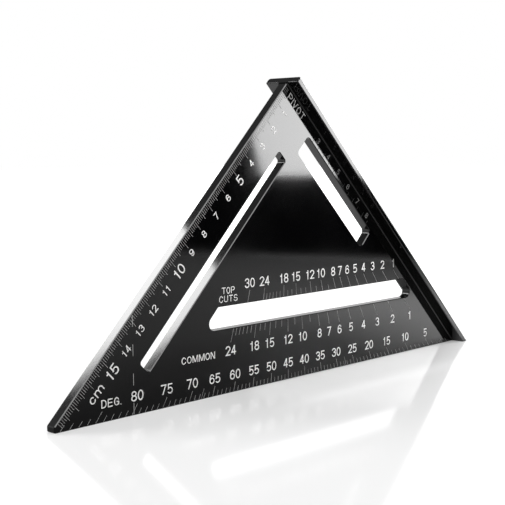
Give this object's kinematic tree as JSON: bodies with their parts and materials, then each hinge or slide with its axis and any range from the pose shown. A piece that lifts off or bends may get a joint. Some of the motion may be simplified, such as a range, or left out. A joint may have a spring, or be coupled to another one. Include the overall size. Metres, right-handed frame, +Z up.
{
  "type": "rafter angle square",
  "caption": "Three-sided carpenter's angle square: flat black blade with scribing slots and white printed scales, standing on its long base, with a T-shaped fence along one leg.",
  "frame": {"origin": "bottom centre of the bounding box, on the plane the square stands on and midway across the fence, which stands out a little further behind the blade than in front", "axes": "+X along the base towards the fence, -Y out of the printed face, +Z up"},
  "size_m": [0.2638, 0.0188, 0.1332],
  "materials": {
    "black_blade": "black anodised, polished to a gloss",
    "black_fence": "black anodised, gloss",
    "dark_steel": "black oxide",
    "white_ink": "screen-printed white ink",
    "tick_ink": "thin screen-printed grey-white ink",
    "faint_ink": "worn screen-printed ink that hardly shows"
  },
  "bodies": {
    "root": {"blade": "black_blade", "fence": "black_fence", "fence_screws": "dark_steel", "cm_scale_ticks": "tick_ink", "cm_scale_numerals": "white_ink", "cm_unit_label": "white_ink", "degree_ticks": "tick_ink", "degree_numerals": "white_ink", "degree_label": "white_ink", "rafter_ticks": "tick_ink", "rafter_numerals": "white_ink", "rafter_label": "white_ink", "top_cut_ticks": "tick_ink", "top_cut_numerals": "white_ink", "top_cut_label": "white_ink", "fence_scale_ticks": "faint_ink", "fence_scale_numerals": "tick_ink", "pivot_label": "white_ink", "guide_line": "tick_ink"}
  },
  "joints": []
}
